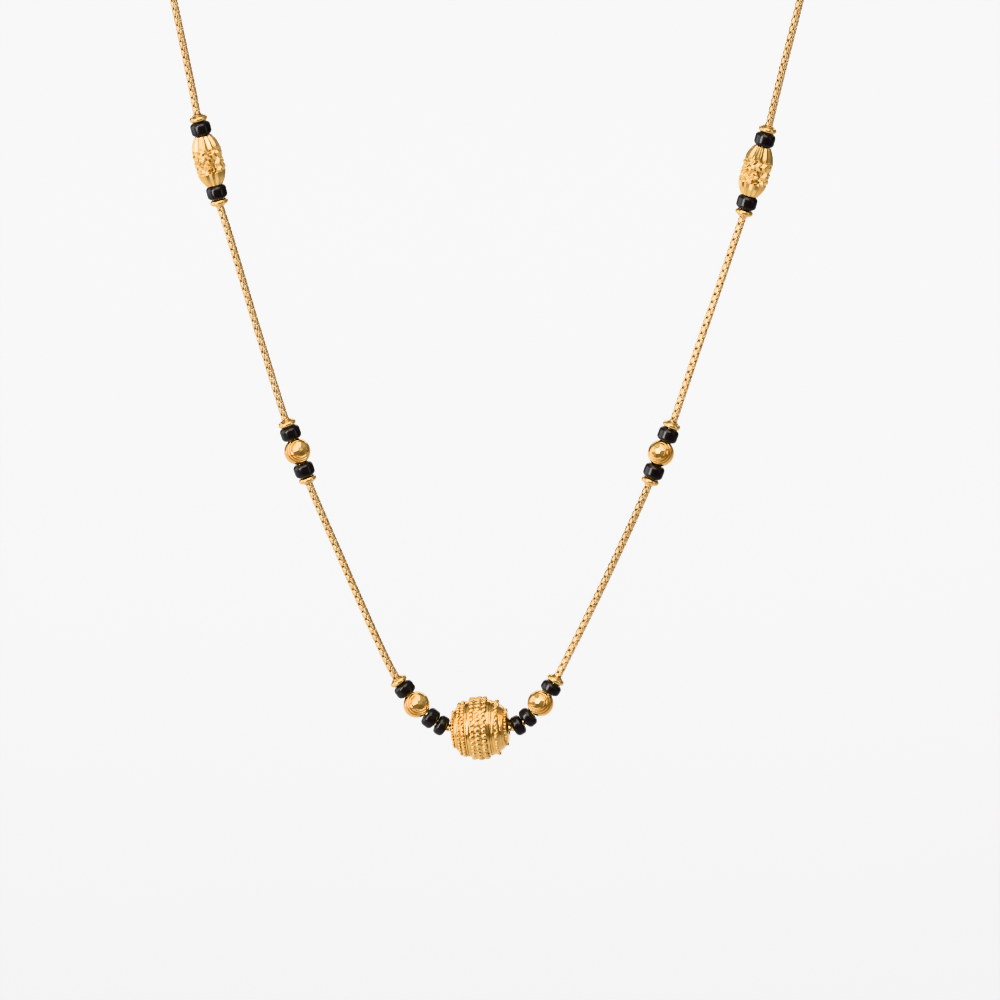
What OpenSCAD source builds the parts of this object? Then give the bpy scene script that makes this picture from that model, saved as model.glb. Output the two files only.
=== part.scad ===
// Mangalsutra: a gold chain necklace with black glass beads, gold barrels, gold balls and a ridged
// centre ball, worn round a neck. Millimetres, Z up, the front faces -Y, the nape is at the origin.

/* [Loop] */
// Width of the loop where it is widest, round the neck
loop_width = 101.6; // [90:0.2:120]
// Depth of the loop from the nape to where the front begins
loop_depth = 55; // [48:0.5:66]
// Height of the nape above where the front begins
neck_rise = 40; // [34:0.5:48]
// Length of the front from there down to the centre ball, along its lean
front_drop = 110.3; // [98:0.1:130]

/* [Fit] */
// Clear space between neighbouring pieces on the strand
play = 0.06; // [0.04:0.01:0.12]
// Thickness of the wall of the hollow gold balls and barrels
gold_wall = 0.35; // [0.25:0.05:0.5]

/* [Centre ball] */
// Length of the centre ball along its bore
centre_length = 8.8; // [7.6:0.1:10]
// Diameter of the centre ball over its widest ridge
centre_diameter = 9.6; // [8:0.1:11]
// Diameter of the bore of the centre ball
centre_bore = 2.3; // [2.2:0.1:2.6]
// Turn of the ball on the strand, seen from the front, in degrees
centre_turn = 5; // [0:1:6]
// Turn of the ball round the vertical, its right end to the front, in degrees
centre_swing = 4; // [0:1:5]
// Height of the granules on the ridges
granule = 0.09; // [0:0.01:0.14]

/* [Small balls] */
// Diameter of the four small gold balls
ball_diameter = 4; // [3.6:0.1:4.6]
// Radius of the three round grooves cut in each face
groove_radius = 0.16; // [0.1:0.01:0.2]

/* [Barrels] */
// Length of the two gold barrels
barrel_length = 7.6; // [6:0.1:9]
// Diameter of a barrel at its middle
barrel_diameter = 4.6; // [4:0.1:5.2]
// Diameter of a barrel at its ends
barrel_end = 2.7; // [2.2:0.1:2.9]
// Number of flutes round a barrel
flutes = 14; // [10:1:18]

/* [Black beads] */
// Diameter of the black glass beads
bead_diameter = 3.1; // [2.8:0.1:3.6]
// Thickness of the beads half way up and beside the barrels
bead_thickness = 2.05; // [1.8:0.05:2.4]
// Radius of the outer edge of these beads
bead_round = 0.5; // [0.3:0.05:0.7]
// Thickness of the full beads near the centre ball
near_thickness = 1.9; // [1.7:0.05:2.1]
// Thickness of the thin beads near the centre ball
thin_thickness = 1.65; // [1.55:0.05:1.9]
// Radius of the outer edge of the beads near the centre ball
near_round = 0.6; // [0.5:0.05:0.75]

/* [Caps] */
// Diameter of the rim of a cap
cap_diameter = 2.75; // [2.4:0.05:3.2]
// Thickness of the rim of a cap
cap_rim = 0.84; // [0.6:0.02:0.9]
// Height of the dome of a cap above the middle of its rim
cap_dome = 0.62; // [0.58:0.02:0.9]
// Bore of a cap, close round the chain
cap_bore = 1.3; // [1.25:0.05:1.5]

/* [Chain] */
// Width of the box chain
chain_width = 1; // [0.8:0.05:1.1]
// Bore of the beads, balls and barrels
bore = 1.5; // [1.4:0.05:1.6]

/* [Clasp] */
// Length of the body of the clasp
clasp_length = 8; // [7:0.5:10]
// Diameter of the body of the clasp
clasp_diameter = 3; // [2.5:0.1:3.5]
// Thickness of the wire of the two eyes
eye_wire = 0.45; // [0.4:0.05:0.6]
// Inner radius of the two eyes
eye_inner = 0.55; // [0.5:0.05:0.8]

/* [Hidden] */
$fn = 48;
// lean of the front of the necklace, and where the front meets the neck
lean = 15;
half_width = loop_width / 2;
collar = [0, -loop_depth, -neck_rise];
// middle of the centre ball in the leaning front plane
low = [-0.02 * half_width, -front_drop];
half_centre = centre_length / 2;
// strand beside the centre ball: out from the end of the ball, and up from its middle
rise_left = [[-0.4, 0.02], [1.3, 0.32], [3, 1.5], [5.1, 3.5], [6.9, 5.9]];
rise_right = [[-0.5, 0.02], [1.1, 0.32], [2.6, 1.5], [4.4, 3.5], [6, 5.8]];
// rest of the front of the strand: shares of the half width and of the drop
front_left = [
    [-0.295, 0.907], [-0.427, 0.769], [-0.561, 0.619], [-0.665, 0.467], [-0.752, 0.33],
    [-0.823, 0.221], [-0.87, 0.11], [-0.919, 0]];
front_right = [
    [0.232, 0.907], [0.376, 0.769], [0.514, 0.622], [0.628, 0.467], [0.728, 0.33], [0.795, 0.234],
    [0.86, 0.11], [0.919, 0]];
// strand round the side of the neck: shares of the half width, of the depth and of the rise
neck = [
    [0.959, 0.949, 0.775], [0.99, 0.86, 0.562], [1, 0.727, 0.37], [0.97, 0.556, 0.215],
    [0.884, 0.378, 0.11], [0.74, 0.215, 0.045], [0.543, 0.082, 0.013], [0.335, -0.004, 0]];
// distance along the strand from the centre ball to the middle ball and to the barrel
ball_left = 0.485 * front_drop;
ball_right = 0.4785 * front_drop;
barrel_left = 0.902 * front_drop;
barrel_right = 0.8864 * front_drop;
// turn between two neighbours at each place, which their room allows for
turn_left = [47, 4.5, 9];
turn_right = [32, 7, 11];
turn_ball = 6;
turn_straight = 2;
// the two beads beside the centre ball face each other: how far along the strand each is aimed
aim_left = [0.5, -0.4];
aim_right = [0.2, -0.6];

// eyes of the clasp and the ends of the chain
eye_radius = eye_inner + eye_wire / 2;
eye_sink = 0.15;
eye_at = clasp_length / 2 + eye_radius + eye_wire / 2 - eye_sink;
chain_end = eye_at + eye_radius + eye_wire / 2 + 0.15;
chain_gap = 0.5;
// straight length of chain beside each eye of the clasp
eye_lead = 5;
chain_sides = 8;

// radii used by several pieces
ball_radius = ball_diameter / 2;
bore_radius = bore / 2;
mouth = asin(bore_radius / ball_radius);
rim_radius = cap_rim / 2;

// room that a piece takes on the strand from its middle, when the strand turns there
function bead_reach(thick, edge, turn) = (bead_diameter / 2 - edge) * sin(turn)
    + (thick / 2 - edge) * cos(turn) + edge;
// distance between a small ball and a bead that sits in the mouth of its bore
function ball_to_bead(thick, turn) = ball_radius * cos(mouth) + thick / 2 * cos(turn)
    + bore_radius * sin(turn) + play;

// distances along the strand of the pieces beside the centre ball: thin bead, bead, ball, bead, cap
function near_places(turns, second, third) = let (
    a = half_centre + bead_reach(thin_thickness, near_round, turns[0]) + play,
    b = a + bead_reach(thin_thickness, near_round, turns[1])
        + bead_reach(second, near_round, turns[1]) + play,
    c = b + ball_to_bead(second, turns[2]),
    d = c + ball_to_bead(third, turn_ball),
    e = d + bead_reach(third, near_round, turn_ball) + rim_radius + play
) [a, b, c, d, e];
places_left = near_places(turn_left, near_thickness, near_thickness);
places_right = near_places(turn_right, thin_thickness, thin_thickness);
// distances from the middle of a straight group to its beads and its caps
mid_bead = ball_to_bead(bead_thickness, turn_straight);
straight_reach = bead_reach(bead_thickness, bead_round, turn_straight);
mid_cap = mid_bead + straight_reach + rim_radius + play;
top_bead = barrel_length / 2 + straight_reach + play;
top_cap = top_bead + straight_reach + rim_radius + play;

// route of the strand from the middle of the centre ball to the clasp, side 1 right, side -1 left
function unit(v) = v / norm(v);
function leaning(p) = collar + [p[0], p[1] * sin(lean), p[1] * cos(lean)];
function route(rise, front, side) = concat(
    [for (x = [0, half_centre / 2]) leaning(low + [side * x, 0])],
    [for (p = rise) leaning(low + [side * (half_centre + p[0]), p[1]])],
    [for (p = front) leaning([p[0] * half_width, -p[1] * front_drop])],
    [for (p = neck) [side * p[0] * half_width, -p[1] * loop_depth, -p[2] * neck_rise]],
    [for (x = [chain_end + eye_lead, chain_end]) [side * x, clasp_diameter / 2, 0]]);

// smooth curve through the route
function pick(p, i) = i < 0 ? 2 * p[0] - p[1]
    : i >= len(p) ? 2 * p[len(p) - 1] - p[len(p) - 2] : p[i];
function curve(a, b, c, d, t) = (2 * b + (c - a) * t + (2 * a - 5 * b + 4 * c - d) * t * t
    + (3 * b - a - 3 * c + d) * t * t * t) / 2;
function smooth(p, n) = concat([for (i = [0 : len(p) - 2], k = [0 : n - 1])
    curve(pick(p, i - 1), p[i], p[i + 1], pick(p, i + 2), k / n)], [p[len(p) - 1]]);
function lengths(p) = [for (i = 0, s = 0; i < len(p);
    s = s + norm(pick(p, i + 1) - pick(p, i)), i = i + 1) s];
function table(s, p) = [for (k = [0 : 2]) [for (i = [0 : len(p) - 1]) [s[i], p[i][k]]]];
function at(t, s) = [lookup(s, t[0]), lookup(s, t[1]), lookup(s, t[2])];
function spread(a, b, n) = [for (i = [1 : n]) a + (b - a) * i / n];

// rings of the chain: close beside the centre ball, straight through each group, even round the neck
function ring_places(places, ball, barrel, end) = concat(
    [chain_gap / 2],
    spread(chain_gap / 2, places[4] + 1.2, 14),
    spread(places[4] + 1.2, ball - mid_cap - 1.2, 3),
    [ball + mid_cap + 1.2],
    spread(ball + mid_cap + 1.2, barrel - top_cap - 1.2, 3),
    [barrel + top_cap + 1.2],
    spread(barrel + top_cap + 1.2, end, 17));

dense_left = smooth(route(rise_left, front_left, -1), 8);
dense_right = smooth(route(rise_right, front_right, 1), 8);
length_left = lengths(dense_left);
length_right = lengths(dense_right);
curve_left = table(length_left, dense_left);
curve_right = table(length_right, dense_right);
end_left = length_left[len(length_left) - 1];
end_right = length_right[len(length_right) - 1];
rings_left = ring_places(places_left, ball_left, barrel_left, end_left);
rings_right = ring_places(places_right, ball_right, barrel_right, end_right);
line_left = table(rings_left, [for (s = rings_left) at(curve_left, s)]);
line_right = table(rings_right, [for (s = rings_right) at(curve_right, s)]);

// tube along the rings of one side
module tube(line, rings, radius) {
    n = len(rings);
    middle = [for (s = rings) at(line, s)];
    ahead = [for (i = [0 : n - 1]) unit(pick(middle, i + 1) - pick(middle, i - 1))];
    start = unit(cross(ahead[0], [0, 1, 0]));
    side = [for (i = 0, v = start; i < n;
        i = i + 1, v = i < n ? unit(v - (v * ahead[i]) * ahead[i]) : v) v];
    points = [for (i = [0 : n - 1], k = [0 : chain_sides - 1])
        middle[i] + radius * (cos(360 * (k + 0.5) / chain_sides) * side[i]
            + sin(360 * (k + 0.5) / chain_sides) * cross(ahead[i], side[i]))];
    walls = [for (i = [0 : n - 2], k = [0 : chain_sides - 1]) let (m = (k + 1) % chain_sides)
        [i * chain_sides + k, (i + 1) * chain_sides + k, (i + 1) * chain_sides + m,
            i * chain_sides + m]];
    split = [for (w = walls) each [[w[0], w[1], w[2]], [w[0], w[2], w[3]]]];
    first = [for (k = [0 : chain_sides - 1]) k];
    last = [for (k = [chain_sides - 1 : -1 : 0]) (n - 1) * chain_sides + k];
    polyhedron(points, concat(split, [first], [last]));
}

// puts a piece on the strand at a distance along it, with its bore along the strand there or a
// little further on
module thread(line, s, half, aim = 0) {
    d = unit(at(line, s + aim + half) - at(line, s + aim - half));
    translate(at(line, s)) rotate([0, acos(d[2]), atan2(d[1], d[0])]) children();
}

// turned piece from rings of points: radius as a function of the row and the place round it
module turned(rows, count) {
    n = len(rows);
    points = [for (i = [0 : n - 1], k = [0 : count - 1])
        let (r = rows[i][1] + rows[i][2] * ((k + rows[i][3]) % 2 == 0 ? 1 : -1))
        [r * cos(360 * k / count), r * sin(360 * k / count), rows[i][0]]];
    walls = [for (i = [0 : n - 2], k = [0 : count - 1]) let (m = (k + 1) % count,
        a = i * count + k, b = i * count + m, c = (i + 1) * count + m, d = (i + 1) * count + k)
        each (k + rows[i][3]) % 2 == 0 ? [[a, c, b], [a, d, c]] : [[a, d, b], [b, d, c]]];
    bottom = [for (k = [0 : count - 1]) k];
    top = [for (k = [count - 1 : -1 : 0]) (n - 1) * count + k];
    polyhedron(points, concat(walls, [bottom], [top]));
}

// half profile of the centre ball: distance from the middle and radius as shares of its sizes,
// height of the granules as a share of their size, and the row that they are shifted by
ball_rows = [[0, 1, 1, 0], [0.095, 0.998, 1, 1], [0.19, 0.981, 1, 0], [0.265, 0.948, 0.8, 1],
    [0.3, 0.905, 0, 0], [0.38, 0.893, 0, 0], [0.455, 0.868, 0, 0], [0.49, 0.875, 0.8, 1],
    [0.56, 0.864, 1, 0], [0.64, 0.823, 1, 1], [0.715, 0.765, 0.8, 0], [0.76, 0.69, 0, 0],
    [0.815, 0.626, 0, 0], [0.85, 0.61, 0.8, 0], [0.915, 0.537, 1, 1], [0.97, 0.437, 0.8, 0],
    [1, 0.335, 0, 0]];
centre_rows = concat(
    [for (i = [len(ball_rows) - 1 : -1 : 1]) [-ball_rows[i][0], ball_rows[i][1], ball_rows[i][2],
        ball_rows[i][3]]], ball_rows);
centre_sides = 72;

module centre_ball() {
    color([0.85, 0.62, 0.22])
    translate(leaning(low))
    rotate([0, 0, -centre_swing]) rotate([0, 90 - centre_turn, 0])
    difference() {
        turned([for (w = centre_rows) [w[0] * half_centre, w[1] * centre_diameter / 2,
            w[2] * granule, w[3]]], centre_sides);
        cylinder(h = centre_length + 2, d = centre_bore, center = true);
        sphere(r = centre_diameter * 0.475 - gold_wall);
    }
}

// profile of a black bead beside its bore, rounded at its edges
module bead_profile(thick, edge) {
    across = bead_diameter / 2 - edge;
    flat = thick / 2 - edge;
    difference() {
        union() {
            translate([across, flat]) circle(edge);
            translate([across, -flat]) circle(edge);
            translate([0, -thick / 2]) square([across, thick]);
            translate([across - 0.01, -flat]) square([edge + 0.01, 2 * flat]);
        }
        translate([-1, -thick]) square([1 + bore_radius, 2 * thick]);
    }
}

module black_bead(line, s, thick = bead_thickness, edge = bead_round, aim = 0) {
    color([0.03, 0.03, 0.035])
    thread(line, s, thick / 2, aim)
    rotate_extrude() bead_profile(thick, edge);
}

// bead near the centre ball, rounder at its edges
module near_bead(line, s, thick = thin_thickness, aim = 0) {
    black_bead(line, s, thick, near_round, aim);
}

// small gold ball with three round grooves in its front and in its back
groove_lean = 24;
groove_angles = [35, 47, 59];
module small_ball(line, s, side) {
    color([0.85, 0.62, 0.22])
    difference() {
        thread(line, s, 1)
            difference() {
                sphere(ball_radius);
                sphere(ball_radius - gold_wall);
                cylinder(h = ball_diameter + 2, r = bore_radius, center = true);
            }
        for (face = [0, 180])
            translate(at(line, s)) rotate([90, 0, 0]) rotate([0, -side * groove_lean, 0])
                rotate([face, 0, 0])
                rotate_extrude() for (a = groove_angles)
                    translate(ball_radius * 1.03 * [sin(a), cos(a)]) circle(groove_radius);
    }
}

// gold barrel with fluted ends and a faceted band
barrel_rows = [[0, 0, 0.05, 0], [0.09, 0.4, 0.08, 0], [0.18, 0.75, 0.09, 0], [0.26, 0.94, 0.09, 0],
    [0.31, 0.97, 0.1, 1], [0.36, 0.99, 0.1, 0], [0.41, 1, 0.11, 1], [0.45, 1, 0.11, 0],
    [0.5, 1, 0.11, 1], [0.55, 1, 0.11, 0], [0.59, 1, 0.11, 1], [0.64, 0.99, 0.1, 0],
    [0.69, 0.97, 0.1, 1], [0.74, 0.94, 0.09, 0], [0.82, 0.75, 0.09, 0], [0.91, 0.4, 0.08, 0],
    [1, 0, 0.05, 0]];
module barrel(line, s) {
    small = barrel_end / 2;
    large = barrel_diameter / 2;
    color([0.85, 0.62, 0.22])
    thread(line, s, barrel_length / 2)
    rotate([0, 0, 90 / flutes])
    difference() {
        turned([for (w = barrel_rows) [(w[0] - 0.5) * barrel_length,
            small + w[1] * (large - small) - w[2], w[2], w[3]]], 2 * flutes);
        cylinder(h = barrel_length + 2, r = bore_radius, center = true);
        rotate_extrude() polygon([[bore_radius - 0.1, -0.42 * barrel_length],
            [large - 0.5 - gold_wall, -0.22 * barrel_length],
            [large - 0.3 - gold_wall, 0],
            [large - 0.5 - gold_wall, 0.22 * barrel_length],
            [bore_radius - 0.1, 0.42 * barrel_length]]);
    }
}

// gold cap: a round rim and a low dome towards the chain, way 1 towards the clasp, -1 away from it
module cap(line, s, way) {
    rim = cap_diameter / 2 - rim_radius;
    hole = cap_bore / 2;
    color([0.85, 0.62, 0.22])
    thread(line, s, 0.5)
    rotate([way > 0 ? 0 : 180, 0, 0])
    rotate_extrude() difference() {
        union() {
            translate([rim, 0]) circle(rim_radius);
            translate([hole, -rim_radius]) square([rim - hole, cap_rim]);
            polygon([[hole, 0], [rim, 0], [rim + 0.12, rim_radius - 0.02],
                [rim - 0.06, cap_dome - 0.12], [hole + 0.14, cap_dome - 0.03],
                [hole + 0.08, cap_dome], [hole, cap_dome]]);
        }
        translate([-1, -cap_rim]) square([1 + hole, 2 * cap_rim + cap_dome]);
    }
}

module left_chain() {
    color([0.86, 0.64, 0.25])
    tube(line_left, rings_left, chain_width / 2);
}

module right_chain() {
    color([0.86, 0.64, 0.25])
    tube(line_right, rings_right, chain_width / 2);
}

// clasp at the nape: a plain barrel with a soldered eye at each end
module clasp() {
    r = clasp_diameter / 2;
    h = clasp_length / 2;
    step = 0.9;
    color([0.85, 0.62, 0.22])
    translate([0, r, 0])
    union() {
        rotate([0, 90, 0]) rotate_extrude()
            polygon([[0, -h], [r * 0.45, -h], [r * 0.8, -h + 0.35 * step], [r, -h + step],
                [r, -0.25], [r * 0.93, -0.12], [r * 0.93, 0.12], [r, 0.25], [r, h - step],
                [r * 0.8, h - 0.35 * step], [r * 0.45, h], [0, h]]);
        for (side = [-1, 1])
            translate([side * eye_at, 0, 0])
                rotate_extrude() translate([eye_radius, 0]) circle(eye_wire / 2);
    }
}

centre_ball();
near_bead(line_left, places_left[0], aim = aim_left[0]);  // left_bead_1
near_bead(line_left, places_left[1], near_thickness, aim_left[1]);  // left_bead_2
small_ball(line_left, places_left[2], -1);  // left_ball_1
near_bead(line_left, places_left[3], near_thickness);  // left_bead_3
cap(line_left, places_left[4], 1);  // left_cap_1
cap(line_left, ball_left - mid_cap, -1);  // left_cap_2
black_bead(line_left, ball_left - mid_bead);  // left_bead_4
small_ball(line_left, ball_left, -1);  // left_ball_2
black_bead(line_left, ball_left + mid_bead);  // left_bead_5
cap(line_left, ball_left + mid_cap, 1);  // left_cap_3
cap(line_left, barrel_left - top_cap, -1);  // left_cap_4
black_bead(line_left, barrel_left - top_bead);  // left_bead_6
barrel(line_left, barrel_left);  // left_barrel
black_bead(line_left, barrel_left + top_bead);  // left_bead_7
cap(line_left, barrel_left + top_cap, 1);  // left_cap_5
near_bead(line_right, places_right[0], aim = aim_right[0]);  // right_bead_1
near_bead(line_right, places_right[1], aim = aim_right[1]);  // right_bead_2
small_ball(line_right, places_right[2], 1);  // right_ball_1
near_bead(line_right, places_right[3], thin_thickness);  // right_bead_3
cap(line_right, places_right[4], 1);  // right_cap_1
cap(line_right, ball_right - mid_cap, -1);  // right_cap_2
black_bead(line_right, ball_right - mid_bead);  // right_bead_4
small_ball(line_right, ball_right, 1);  // right_ball_2
black_bead(line_right, ball_right + mid_bead);  // right_bead_5
cap(line_right, ball_right + mid_cap, 1);  // right_cap_3
cap(line_right, barrel_right - top_cap, -1);  // right_cap_4
black_bead(line_right, barrel_right - top_bead);  // right_bead_6
barrel(line_right, barrel_right);  // right_barrel
black_bead(line_right, barrel_right + top_bead);  // right_bead_7
cap(line_right, barrel_right + top_cap, 1);  // right_cap_5
left_chain();
right_chain();
clasp();
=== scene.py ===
"""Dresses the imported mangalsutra: box chain links, cast centre ball, barrels, small balls, caps,
glass beads and clasp, with their finishes, and the stage that it is shown on.

Pieces are modelled in millimetres round their own middle and settled on the strand in metres.
"""

import math
import random

import bmesh
import bpy
import numpy as np
from bpy.props import FloatProperty, FloatVectorProperty, PointerProperty
from mathutils import Matrix, Vector


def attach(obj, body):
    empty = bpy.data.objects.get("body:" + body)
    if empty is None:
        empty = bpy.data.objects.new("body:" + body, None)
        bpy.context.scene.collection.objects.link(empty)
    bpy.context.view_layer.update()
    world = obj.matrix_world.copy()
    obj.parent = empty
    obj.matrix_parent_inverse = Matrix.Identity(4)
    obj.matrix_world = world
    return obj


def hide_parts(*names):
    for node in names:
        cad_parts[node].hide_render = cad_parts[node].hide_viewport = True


bl_info = {
    "name": "Mangalsutra Pieces",
    "version": (1, 0, 0),
    "blender": (4, 5, 0),
    "location": "View3D > Sidebar > Mangalsutra",
    "description": "Models the links, beads, balls, barrels and caps of a mangalsutra",
    "category": "Object",
}

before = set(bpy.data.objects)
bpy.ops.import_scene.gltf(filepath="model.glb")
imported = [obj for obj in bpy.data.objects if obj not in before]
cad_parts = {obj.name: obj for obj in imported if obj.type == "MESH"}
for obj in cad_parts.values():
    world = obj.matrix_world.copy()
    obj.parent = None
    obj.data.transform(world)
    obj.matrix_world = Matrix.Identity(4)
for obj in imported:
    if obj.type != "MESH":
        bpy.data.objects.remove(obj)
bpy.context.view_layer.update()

MILLIMETRE = 0.001
# doubles closer than this many millimetres are merged
MERGE = 0.0005
SIDES = {"left": -1, "right": 1}

# Sizes of the strand in millimetres, the same values as in the CAD source
LEAN = math.radians(15)
HALF_WIDTH = 50.8
LOOP_DEPTH = 55.0
NECK_RISE = 40.0
FRONT_DROP = 110.3
PLAY = 0.06
CENTRE_LENGTH = 8.8
CENTRE_BORE = 2.3
CENTRE_TURN = math.radians(5)
CENTRE_SWING = math.radians(4)
BALL_DIAMETER = 4.0
BARREL_LENGTH = 7.6
BARREL_DIAMETER = 4.6
BARREL_END = 2.7
FLUTES = 14
BEAD_DIAMETER = 3.1
BEAD_THICKNESS = 2.05
BEAD_ROUND = 0.5
# the glass is a little rounder than its solid, within it
GLASS_ROUND = 0.62
NEAR_THICKNESS = 1.9
THIN_THICKNESS = 1.65
NEAR_ROUND = 0.6
CAP_DIAMETER = 2.75
CAP_RIM = 0.84
CAP_DOME = 0.62
CAP_BORE = 1.3
BORE = 1.5
CLASP_LENGTH = 8.0
CLASP_DIAMETER = 3.0
EYE_WIRE = 0.45
EYE_INNER = 0.55
EYE_SINK = 0.15
CHAIN_GAP = 0.5
CHAIN_CLEAR = 0.15
EYE_LEAD = 5.0

# rings of the tubes in the CAD source: room beside the caps, and how many on each stretch
RING_CLEAR = 1.2
RINGS_NEAR = 14
RINGS_LONG = 3
RINGS_NECK = 17
CURVE_STEPS = 8

# route of the strand: millimetres out and up from the ends of the centre ball's bore,
# shares of the half width and of the drop on the front, and of width, depth and rise at the neck
RISE_BESIDE_BALL = {
    "left": [(-0.4, 0.02), (1.3, 0.32), (3, 1.5), (5.1, 3.5), (6.9, 5.9)],
    "right": [(-0.5, 0.02), (1.1, 0.32), (2.6, 1.5), (4.4, 3.5), (6, 5.8)],
}
FRONT = {
    "left": [
        (-0.295, 0.907), (-0.427, 0.769), (-0.561, 0.619), (-0.665, 0.467),
        (-0.752, 0.33), (-0.823, 0.221), (-0.87, 0.11), (-0.919, 0),
    ],
    "right": [
        (0.232, 0.907), (0.376, 0.769), (0.514, 0.622), (0.628, 0.467),
        (0.728, 0.33), (0.795, 0.234), (0.86, 0.11), (0.919, 0),
    ],
}
NECK = [
    (0.959, 0.949, 0.775), (0.99, 0.86, 0.562), (1, 0.727, 0.37), (0.97, 0.556, 0.215),
    (0.884, 0.378, 0.11), (0.74, 0.215, 0.045), (0.543, 0.082, 0.013), (0.335, -0.004, 0),
]

# places of the groups along the strand, and the turns that the pieces near the ball are given
MIDDLE_BALL = {"left": 0.485 * FRONT_DROP, "right": 0.4785 * FRONT_DROP}
BARREL_PLACE = {"left": 0.902 * FRONT_DROP, "right": 0.8864 * FRONT_DROP}
TURN_FIRST = {"left": math.radians(47), "right": math.radians(32)}
TURN_SECOND = {"left": math.radians(4.5), "right": math.radians(7)}
TURN_MOUTH = {"left": math.radians(9), "right": math.radians(11)}
AIM = {"left_bead_1": 0.5, "left_bead_2": -0.4, "right_bead_1": 0.2, "right_bead_2": -0.6}
INNER_THICKNESS = {"left": NEAR_THICKNESS, "right": THIN_THICKNESS}
TURN_BALL = math.radians(6)
TURN_STRAIGHT = math.radians(2)

HALF_CENTRE = CENTRE_LENGTH / 2
BALL_RADIUS = BALL_DIAMETER / 2
BORE_RADIUS = BORE / 2
EYE_RADIUS = EYE_INNER + EYE_WIRE / 2
EYE_AT = CLASP_LENGTH / 2 + EYE_RADIUS + EYE_WIRE / 2 - EYE_SINK
CHAIN_END = EYE_AT + EYE_RADIUS + EYE_WIRE / 2 + CHAIN_CLEAR
# the strand's lowest point in the leaning plane, and the way that this plane faces
LOW = (-0.02 * HALF_WIDTH, -FRONT_DROP)
FACING = Vector((0, -math.cos(LEAN), math.sin(LEAN)))

# gold finishes: their colour, least and most roughness, and the millimetres that the painted shade
# in crevices reaches
GOLD_LOOKS = {
    "polished_gold": ("polished", 0.09, 0.2, 0.25),
    "cast_gold_relief": ("cast", 0.1, 0.22, 0.42),
    "chain_gold_links": ("links", 0.14, 0.26, 0.25),
}


def leaning(x, up):
    """A point of the leaning front plane: x to the right, up from the top of the front."""
    return Vector((x, -LOOP_DEPTH + up * math.sin(LEAN), -NECK_RISE + up * math.cos(LEAN)))


def route(side):
    """The points that one side of the strand follows, from the centre ball to the clasp."""
    way = SIDES[side]
    points = [leaning(LOW[0] + way * x, LOW[1]) for x in (0, HALF_CENTRE / 2)]
    points += [leaning(LOW[0] + way * (HALF_CENTRE + x), LOW[1] + up)
               for x, up in RISE_BESIDE_BALL[side]]
    points += [leaning(x * HALF_WIDTH, -down * FRONT_DROP) for x, down in FRONT[side]]
    points += [Vector((way * x * HALF_WIDTH, -y * LOOP_DEPTH, -z * NECK_RISE)) for x, y, z in NECK]
    points += [Vector((way * x, CLASP_DIAMETER / 2, 0))
               for x in (CHAIN_END + EYE_LEAD, CHAIN_END)]
    return points


def smooth_curve(points, steps):
    """A smooth curve through the points, with that many steps between two of them."""
    ends = [2 * points[0] - points[1]] + list(points) + [2 * points[-1] - points[-2]]
    found = []
    for i in range(1, len(ends) - 2):
        a, b, c, d = ends[i - 1:i + 3]
        for k in range(steps):
            t = k / steps
            found.append((2 * b + (c - a) * t + (2 * a - 5 * b + 4 * c - d) * t * t
                          + (3 * b - a - 3 * c + d) * t ** 3) / 2)
    return found + [points[-1]]


class Table:
    """Points along a line with their distances, looked up by distance."""

    def __init__(self, distances, points):
        self.distances = np.array(distances, float)
        self.points = np.array([list(p) for p in points], float)
        self.end = float(self.distances[-1])

    def at(self, distance):
        """The point at a distance along the line, which runs on straight past its end."""
        if distance > self.end:
            ahead = self.points[-1] - self.points[-2]
            return Vector(self.points[-1] + ahead / np.linalg.norm(ahead) * (distance - self.end))
        return Vector([float(np.interp(distance, self.distances, self.points[:, k]))
                       for k in range(3)])


def bead_reach(thick, edge, turn):
    """Room that a turned bead takes on the strand from its middle."""
    across, along = BEAD_DIAMETER / 2 - edge, thick / 2 - edge
    return across * math.sin(turn) + along * math.cos(turn) + edge


def ball_to_bead(thick, turn):
    """Distance between a small ball and a bead that sits in the mouth of its bore."""
    return (math.sqrt(BALL_RADIUS ** 2 - BORE_RADIUS ** 2) + thick / 2 * math.cos(turn)
            + BORE_RADIUS * math.sin(turn) + PLAY)


def near_places(side):
    """Distances from the centre ball of its thin bead, bead, ball, bead and cap."""
    inner = INNER_THICKNESS[side]
    a = HALF_CENTRE + bead_reach(THIN_THICKNESS, NEAR_ROUND, TURN_FIRST[side]) + PLAY
    b = (a + bead_reach(THIN_THICKNESS, NEAR_ROUND, TURN_SECOND[side])
         + bead_reach(inner, NEAR_ROUND, TURN_SECOND[side]) + PLAY)
    c = b + ball_to_bead(inner, TURN_MOUTH[side])
    d = c + ball_to_bead(inner, TURN_BALL)
    e = d + bead_reach(inner, NEAR_ROUND, TURN_BALL) + CAP_RIM / 2 + PLAY
    return [a, b, c, d, e]


MID_BEAD = ball_to_bead(BEAD_THICKNESS, TURN_STRAIGHT)
STRAIGHT_REACH = bead_reach(BEAD_THICKNESS, BEAD_ROUND, TURN_STRAIGHT)
MID_CAP = MID_BEAD + STRAIGHT_REACH + CAP_RIM / 2 + PLAY
TOP_BEAD = BARREL_LENGTH / 2 + STRAIGHT_REACH + PLAY
TOP_CAP = TOP_BEAD + STRAIGHT_REACH + CAP_RIM / 2 + PLAY


def spread(first, last, count):
    """Even distances after the first up to the last."""
    return [first + (last - first) * i / count for i in range(1, count + 1)]


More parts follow.
